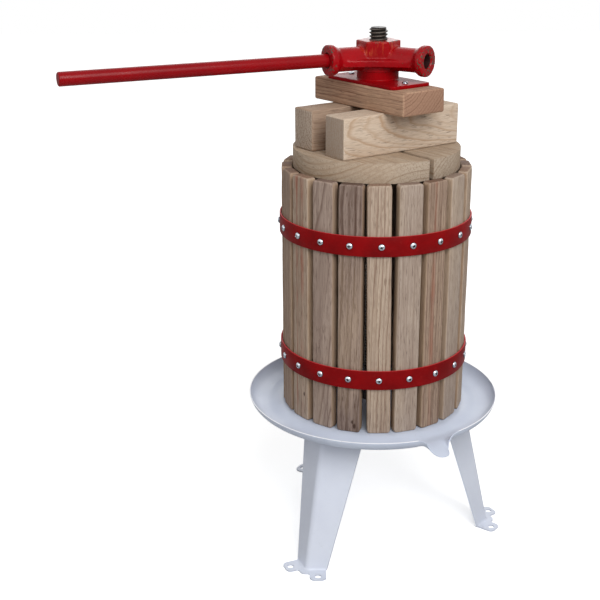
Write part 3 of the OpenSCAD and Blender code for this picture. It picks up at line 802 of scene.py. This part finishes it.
blank = slat_blank()
for i, (aside, wider, lean, heart, slant, tones, lines, grain, streaks) in enumerate(SLATS):
    name, angle = "slat_%02d" % (i + 1), SLAT_STEP * i
    slat = repeat(blank, name + "_board", [slat_place(angle, aside, wider, lean)])
    wear(slat, size=26, depth=1.0)
    wood = oak("slat_oak_%02d" % (i + 1), *tones, 100 + i,
               turns=((0, 0, math.radians(90 - angle)),),
               centre=facing(angle) * (BASKET_R + SLAT_T / 2) + at_height(SLAT_MIDDLE),
               heart=heart, slant=slant, lines=lines, grain=grain, streaks=streaks,
               knots=SLAT_KNOTS.get(i + 1, ()), sides=SLAT_SIDES)
    fit(slat, "basket", "slat_oak", wood, name, smooth=40)
bpy.data.objects.remove(blank)


# Hoops, bent round the slats and lapped at the back, with their screws

def hoop_section():
    """A flat band's section from its middle, with cut corners, the outer ones in two steps."""
    half_t, half_w, edge, step = HOOP_T / 2, HOOP_W / 2, HOOP_EDGE, HOOP_EDGE * 0.3
    upper = [(half_t, half_w - edge), (half_t - step, half_w - step), (half_t - edge, half_w),
             (edge - half_t, half_w), (-half_t, half_w - edge)]
    lower = [(out, -up) for out, up in reversed(upper)]
    return upper + lower + upper[:1]


def hoop(name, z):
    """A band round the slats. Its lap is a short arc of a second band outside it."""
    middle_r = (HOOP_IN_R + HOOP_OUT_R) / 2
    ring = spin_round(draw_line(name, [(middle_r + out, 0, z + up) for out, up in hoop_section()]),
                      HOOP_SIDES)
    lap = rod(HOOP_OUT_R + HOOP_T, HOOP_W, at_height(z), sides=HOOP_SIDES)
    cut(lap, rod(HOOP_OUT_R, HOOP_W + OVERRUN, at_height(z), sides=HOOP_SIDES))
    half_lap = HOOP_OUT_R * 1.2 * math.tan(math.radians(LAP_HALF))
    window = slab((2 * half_lap, 60, HOOP_W + OVERRUN),
                  facing(LAP_ANGLE) * HOOP_OUT_R + at_height(z), LAP_ANGLE)
    cut(lap, window, kind="INTERSECT")
    round_off(lap, LAP_EDGE, segments=2, angle=50)
    take(ring, lap)
    bpy.ops.object.join()
    return ring


def pan_screw(width, height):
    """A pan head with a cross recess, its underside on the floor plane. The "recess" attribute
    marks painted shade: 1 in the cross and 0.8 on the head's lowest rim, which both lie in shadow."""
    rest()
    bpy.ops.mesh.primitive_uv_sphere_add(segments=28, ring_count=14, radius=width / 2 * MM)
    head = bpy.context.object
    head.scale = (1, 1, 2 * height / width)
    named(settle(head), "pan_screw")
    slice_off(head, (0, 0, 0), (0, 0, 1))
    arm, wide = width * 0.62, width * 0.19
    for turn in (0, 90):
        blade = slab((arm, wide, height), (0, 0, height * 0.95), turn)
        shape(blade, "FACE", lambda middle, normal: normal.z < -0.9, bpy.ops.transform.resize,
              value=(0.55, 0.55, 1))
        cut(head, blade)
    recess = head.data.attributes.new("recess", "FLOAT", "POINT")
    for vertex, mark in zip(head.data.vertices, recess.data):
        flat = math.hypot(vertex.co.x, vertex.co.y) / MM
        dome = height * math.sqrt(max(0, 1 - (2 * flat / width) ** 2))
        mark.value = 1.0 if dome - vertex.co.z / MM > 0.15 else 0.8 if flat > 0.46 * width else 0.0
    return head


screw = pan_screw(SCREW_HEAD_D, SCREW_HEAD_H)
for row, (which, z) in enumerate(HOOP_HEIGHTS):
    fit(hoop(which + "_hoop_band", z), "basket", "hoop_red", hoop_red, which + "_hoop")
    places = []
    for i in range(SLAT_COUNT):
        out = facing(SLAT_STEP * i)
        places.append(Matrix.Translation((out * HOOP_OUT_R + at_height(z)) * MM)
                      @ out.to_track_quat("Z", "Y").to_matrix().to_4x4()
                      @ Matrix.Rotation(math.radians(37 * i + 20 * row), 4, "Z"))
    fit(repeat(screw, which + "_hoop_screw_heads", places), "basket", "zinc", zinc_plate,
        which + "_hoop_screws", smooth=30)


# Tray: one section spun round, its rim drawn out into the pouring lip, then given its sheet

def tray_section():
    """From the post outwards: the platform, the slope into the gutter and the round rim."""
    points = [(POST_R + 0.1, TRAY_Z), (60, TRAY_Z), (110, TRAY_Z)]
    slope_steps, rim_steps = 10, 16
    for i in range(slope_steps + 1):
        share = i / slope_steps
        points.append((SLOPE_FROM_R + (SLOPE_TO_R - SLOPE_FROM_R) * share,
                       TRAY_Z - (TRAY_Z - GUTTER_Z) * eased(share)))
    for i in range(rim_steps + 1):
        turn = RIM_TURN * i / rim_steps
        points.append((GUTTER_OUT_R + RIM_R * math.sin(turn),
                       GUTTER_Z + RIM_R * (1 - math.cos(turn))))
    return [(r, 0, z) for r, z in points]


def lip_knots():
    """One half of the lip's edge: how far out, how far to the side and how high, from the tip
    to where the round rim begins. One knot before and one after only guide the curve."""
    knots = [Vector(point) for point in LIP_EDGE]
    for flank in (LIP_FLANK, LIP_FLANK * 1.14):
        knots.append(Vector((math.sqrt(RIM_EDGE_R ** 2 - flank ** 2), flank,
                             GUTTER_Z + RIM_RISE)))
    beside_tip = knots[1]
    return [Vector((beside_tip.x, -beside_tip.y, beside_tip.z)), *knots]


def along_curve(knots, share):
    """A smooth curve from the second knot to the last but one, at a share of its spans."""
    spans = len(knots) - 3
    span = min(int(share * spans), spans - 1)
    t = share * spans - span
    a, b, c, d = knots[span:span + 4]
    return (b * 2 + (c - a) * t + (a * 2 - b * 5 + c * 4 - d) * t ** 2
            + (b * 3 - a - c * 3 + d) * t ** 3) / 2


def draw_out_lip(tray):
    """Moves the rim out and down into the lip. Its channel is straight in the middle, and at
    the flanks it takes on the rim's round section."""
    out, side = facing(LIP_ANGLE), facing(LIP_ANGLE + 90)
    knots = lip_knots()
    for vertex in tray.data.vertices:
        flat = Vector((vertex.co.x, vertex.co.y, 0)) / MM
        radius = flat.length
        swing = math.atan2(flat.dot(side), flat.dot(out))
        across = RIM_EDGE_R * math.sin(swing)
        if radius < GUTTER_OUT_R + 0.01 or abs(swing) > 1 or abs(across) >= LIP_FLANK:
            continue
        share = (radius - GUTTER_OUT_R) / RIM_REACH
        turn = math.asin(min(1, share * math.sin(RIM_TURN)))
        along = turn / RIM_TURN
        far = abs(across) / LIP_FLANK
        edge = along_curve(knots, far)
        edge.y *= 1 if across >= 0 else -1
        round_share = eased(max(0, (far - LIP_OPEN) / (1 - LIP_OPEN)))
        out_share = share * round_share + along * (1 - round_share)
        up_share = ((1 - math.cos(turn)) / (1 - math.cos(RIM_TURN)) * round_share
                    + along ** 1.5 * (1 - round_share))
        root = Vector((GUTTER_OUT_R * math.cos(swing), GUTTER_OUT_R * math.sin(swing), GUTTER_Z))
        spot = root.lerp(edge, out_share)
        height = root.z + (edge.z - root.z) * up_share
        vertex.co = (out * spot.x + side * spot.y + at_height(height)) * MM


def tray_sheet():
    tray = spin_round(draw_line("tray_sheet", tray_section()), 400)
    if sum(face.normal.z for face in tray.data.polygons) < 0:
        shape(tray, "FACE", anywhere, bpy.ops.mesh.flip_normals)
    draw_out_lip(tray)
    modify(tray, "SOLIDIFY", thickness=TRAY_T * MM, offset=-1)
    return round_off(tray, TRAY_EDGE, segments=2, angle=50)


fit(tray_sheet(), "base", "white_enamel", tray_enamel, "tray", smooth=40)


# Post, with its right-hand thread cut all the way

def post():
    root_r = POST_R - THREAD_DEPTH
    turns = math.ceil((POST_TOP - POST_Z) / PITCH) + 2
    start = POST_Z - PITCH
    line = draw_line("spindle_thread", [
        (POST_R, 0, start), (POST_R, 0, start + THREAD_CREST),
        *((root_r, 0, start + up) for up in THREAD_GROOVE), (POST_R, 0, start + PITCH)])
    modify(line, "SCREW", angle=math.tau, screw_offset=PITCH * MM, iterations=turns, steps=32,
           render_steps=32, use_merge_vertices=True, merge_threshold=MERGE_GAP)
    close_up(line)
    slice_off(line, (0, 0, POST_Z * MM), (0, 0, 1))
    slice_off(line, (0, 0, POST_TOP * MM), (0, 0, -1))
    for vertex in line.data.vertices:
        chamfer_r = POST_R - (POST_CHAMFER + vertex.co.z / MM - POST_TOP)
        radius = math.hypot(vertex.co.x, vertex.co.y) / MM
        if radius > chamfer_r and chamfer_r < POST_R:
            vertex.co.x *= chamfer_r / radius
            vertex.co.y *= chamfer_r / radius
    return line


fit(post(), "base", "thread_steel", dark_steel, "spindle", smooth=30)

# Pressing stack: two half discs, two lower blocks and the top block

LAY_DOWN = (0, math.radians(-90), 0)
BLOCK_TURN = Matrix.Rotation(math.radians(BLOCK_ANGLE), 3, "Z")


def grain_along(angle):
    """The turns that bring the grain of a lying board to Z."""
    return (0, 0, math.radians(-angle)), LAY_DOWN


def board(name, size, centre, turn):
    """A lying board with rounded edges, a little worn."""
    piece = named(slab(size, centre, turn), name)
    modify(piece, "BEVEL", width=WOOD_EDGE * MM, segments=4)
    shape(piece, "EDGE", lambda middle, run: run.length > 0.8 * size[0] * MM,
          bpy.ops.mesh.subdivide, number_cuts=18)
    return wear(piece, size=34, depth=0.9)


def half_disc(name, side):
    """Half of the pressing disc. It reaches a little further out and down than the CAD part's,
    so that no light shows between it and the slats."""
    piece = named(upright(DISC_R + DISC_WIDER, SLAT_TOP - DISC_LOWER, SLAT_TOP + DISC_T,
                          sides=180, turn=BLOCK_ANGLE), name)
    across = BLOCK_TURN @ Vector((side, 0, 0))
    slice_off(piece, across * DISC_SPLIT / 2 * MM, across)
    cut(piece, upright(POST_R + POST_GAP, SLAT_TOP - OVERRUN, SLAT_TOP + DISC_T + OVERRUN,
                       sides=64))
    return round_off(piece, DISC_EDGE, segments=3, angle=40)


for name, side, seed in (("disc_left", -1, 31), ("disc_right", 1, 32)):
    wood = oak(name + "_oak", srgb(182, 164, 144), srgb(140, 112, 84), seed,
               turns=grain_along(BLOCK_ANGLE + 90),
               centre=BLOCK_TURN @ Vector((side * 60, 0, 0)) + at_height(SLAT_TOP + DISC_T / 2),
               heart=(156, 120), slant=(2, 0), ring=6, lines=1.1, figure=0.7, grain=0.6,
               end=srgb(178, 162, 144))
    fit(half_disc(name + "_board", side), "stack", "block_oak", wood, name)

for name, side, seed, tones, heart, slant, end in (
        # The front block's darker end colour is partly oak end grain and partly painted shade on
        # its sawn ends.
        ("lower_block_front", -1, 41, (srgb(212, 195, 176), srgb(168, 136, 106)), (80, 80),
         (9, 2), srgb(152, 136, 122)),
        # The back block's darker tones are partly painted shade from lying between the blocks.
        ("lower_block_back", 1, 42, (srgb(170, 146, 126), srgb(116, 88, 68)), (60, 55), (2, 2),
         srgb(176, 160, 144))):
    middle = BLOCK_TURN @ Vector((0, side * BLOCK_OFF, 0)) + at_height((BLOCK_Z + BLOCK_TOP) / 2)
    wood = oak(name + "_oak", *tones, seed, turns=grain_along(BLOCK_ANGLE), centre=middle,
               heart=heart, slant=slant, ring=4.6, lines=0.8, figure=1.6, grain=0.5, end=end)
    fit(board(name + "_board", (BLOCK_L, BLOCK_W, BLOCK_TOP - BLOCK_Z), middle, BLOCK_ANGLE),
        "stack", "block_oak", wood, name, smooth=40)


def top_block(middle):
    """The block under the plate, bored for the post and hollowed for the ring."""
    piece = board("top_block_board", (TOP_BLOCK_L, TOP_BLOCK_W, PLATE_Z - BLOCK_TOP), middle,
                  TOP_ANGLE)
    return cut(piece, upright(POST_R + POST_GAP, BLOCK_TOP - OVERRUN, PLATE_Z + OVERRUN, sides=64),
               upright(RING_ROOM_R, PLATE_Z - RING_ROOM_H, PLATE_Z + OVERRUN, sides=64))


middle = at_height((BLOCK_TOP + PLATE_Z) / 2)
wood = oak("top_block_oak", srgb(186, 148, 122), srgb(116, 80, 60), 51,
           turns=grain_along(TOP_ANGLE), centre=middle, heart=(45, 90), slant=(2.5, 1), ring=4.6,
           lines=1.1, figure=0.8, end=srgb(158, 122, 100), speckle=0.3)
fit(top_block(middle), "stack", "block_oak", wood, "top_block", smooth=40)


# Castings: the plate with its cup, and the head with its hub, web and three sockets

def pressure_plate():
    """The plate and its cup, cut flat on top, hollowed, and bored for the head's neck."""
    flat = slab((PLATE_L, PLATE_W, PLATE_TOP - PLATE_Z), at_height((PLATE_Z + PLATE_TOP) / 2),
                TOP_ANGLE)
    shape(flat, "EDGE", lambda middle, run: abs(run.z) > 4 * MM, bpy.ops.mesh.bevel,
          offset=PLATE_CORNER_R * MM, segments=6)
    rough_top = CUP_TOP + OVERRUN
    plate = cast("pressure_plate_casting", (flat, upright(CUP_R, PLATE_Z, rough_top)), grain=0.9,
                 rounds=5)
    return cut(plate, upright(CUP_R + OVERRUN, CUP_TOP, rough_top + OVERRUN),
               upright(CUP_IN_R, PLATE_TOP, rough_top),
               upright(NECK_R + NECK_GAP, PLATE_Z - OVERRUN, PLATE_TOP + OVERRUN))


def head_casting():
    """The head is melted together from plain shapes, and then cut flat over the cup and bored
    for the post and the bar."""
    axis = at_height(SOCKET_Z)
    web = rod(WEB_R, WEB_T, axis - at_height(WEB_DROP), sides=120)
    for angle in SOCKET_ANGLES:
        cut(web, rod(HOLLOW_R, 2 * WEB_T, axis + facing(angle + 60) * HOLLOW_OFF, sides=180))
    shapes = [web, upright(HUB_R, SOCKET_Z - CORE_SINK, HUB_TOP, sides=6, turn=HUB_TURN),
              upright(CUP_R, CUP_TOP - CORE_SINK, SOCKET_Z - CORE_SINK),
              upright(SKIRT_R, SKIRT_Z, SKIRT_Z + SKIRT_H),
              upright(NECK_R, NECK_Z, NECK_Z + NECK_H)]
    collar_start = SOCKET_REACH - COLLAR_T
    for angle in SOCKET_ANGLES:
        shapes += [spoke(angle, SOCKET_START, TUBE_REACH, SOCKET_OUT_R),
                   spoke(angle, collar_start - COLLAR_T, collar_start, SOCKET_OUT_R, COLLAR_R),
                   spoke(angle, collar_start, SOCKET_REACH, COLLAR_R)]
    head = cast("press_head_casting", shapes, grain=1.15, rounds=9)
    under = upright(UNDER_R, NECK_Z, CUP_TOP + SKIRT_GAP)
    cut(under, upright(SKIRT_R, NECK_Z - OVERRUN, CUP_TOP + OVERRUN))
    tools = [upright(POST_R + THREAD_GAP, NECK_Z - OVERRUN, HUB_TOP + OVERRUN), under]
    for angle in SOCKET_ANGLES:
        tools += [spoke(angle, SOCKET_END, SOCKET_REACH + OVERRUN, SOCKET_IN_R),
                  spoke(angle, MOUTH_START, MOUTH_END, SOCKET_IN_R, MOUTH_R)]
    close_up(cut(head, *tools)).data.validate()
    return head


fit(pressure_plate(), "stack", "head_red", plate_red, "pressure_plate", smooth=40)
fit(head_casting(), "head", "head_red", worn_head_red("head_red_worn"), "press_head", smooth=50)

screw_reach = (PLATE_L / 2 - PLATE_SCREW_INSET) * MM
places = [Matrix.Rotation(math.radians(TOP_ANGLE), 4, "Z")
          @ Matrix.Translation((side * screw_reach, 0, PLATE_TOP * MM))
          @ Matrix.Diagonal((0.95, 0.95, 1, 1)) for side in (-1, 1)]
fit(repeat(screw, "plate_screw_heads", places), "stack", "zinc", zinc_plate, "plate_screws",
    smooth=30)
bpy.data.objects.remove(screw)

# CAD pieces that stay, with finer finishes

for finish, names in ((leg_enamel, ("leg_front", "leg_right", "leg_back", "spindle_plate")),
                      (zinc_plate, ("leg_bolts", "leg_nuts", "thrust_washer")),
                      (dark_steel, ("spindle_top_nut", "spindle_bottom_nut", "retaining_ring")),
                      (hoop_red, ("hoop_rivets",)), (bar_red, ("handle_bar",))):
    for name in names:
        paint(nodes[name], finish)

# Floor, backdrop and lamps, in metres

FLOOR_DROP = 0.0002
# The camera sees the floor glow, more so further off, where it meets the white backdrop. The
# pairs are distance and strength.
GLOW = ((0.7, 0.52), (2.6, 0.85))
BACKDROP_LIGHT = 0.33
AIM_HEIGHT = 0.4

rest()
bpy.ops.mesh.primitive_plane_add(size=14, location=(0, 0, -FLOOR_DROP))
floor = bpy.context.object
floor.name = "floor"
paper = Finish("floor_paper")
seen = paper.add("LightPath").outputs["Is Camera Ray"]
(near, faint), (far, strong) = GLOW
glow = paper.between(paper.length(paper.place), near, far, faint, strong)
floor.data.materials.append(paper.set(
    Base_Color=paper.mix(seen, srgb(200, 200, 200), srgb(250, 250, 250)), Roughness=0.9,
    Specular_IOR_Level=0.0, Emission_Color=(1, 1, 1, 1),
    Emission_Strength=paper.times(seen, glow)))

world = bpy.data.worlds.new("studio")
scene.world = world
world.use_nodes = True
studio = Graph(world.node_tree)
backdrop = studio.tree.nodes["Background"]
backdrop.inputs["Color"].default_value = (1, 1, 1, 1)
rays = studio.add("LightPath").outputs
direct = studio.larger(rays["Is Camera Ray"], rays["Is Glossy Ray"])
studio.feed(backdrop.inputs["Strength"], studio.between(direct, 0, 1, BACKDROP_LIGHT, 1.0))


def lamp(name, azimuth, elevation, distance, size, power):
    """A soft square lamp aimed at the basket."""
    data = bpy.data.lights.new(name, "AREA")
    data.shape = "SQUARE"
    data.size = size
    data.energy = power
    made = bpy.data.objects.new(name, data)
    scene.collection.objects.link(made)
    rise = math.radians(elevation)
    way = facing(azimuth) * math.cos(rise) + at_height(math.sin(rise))
    made.location = at_height(AIM_HEIGHT) + way * distance
    made.rotation_euler = way.to_track_quat("Z", "Y").to_euler()


lamp("key", azimuth=16, elevation=40, distance=2.6, size=1.6, power=54)
lamp("fill", azimuth=-50, elevation=28, distance=2.8, size=2.0, power=9)
lamp("behind", azimuth=172, elevation=32, distance=2.8, size=2.0, power=14)

rest()
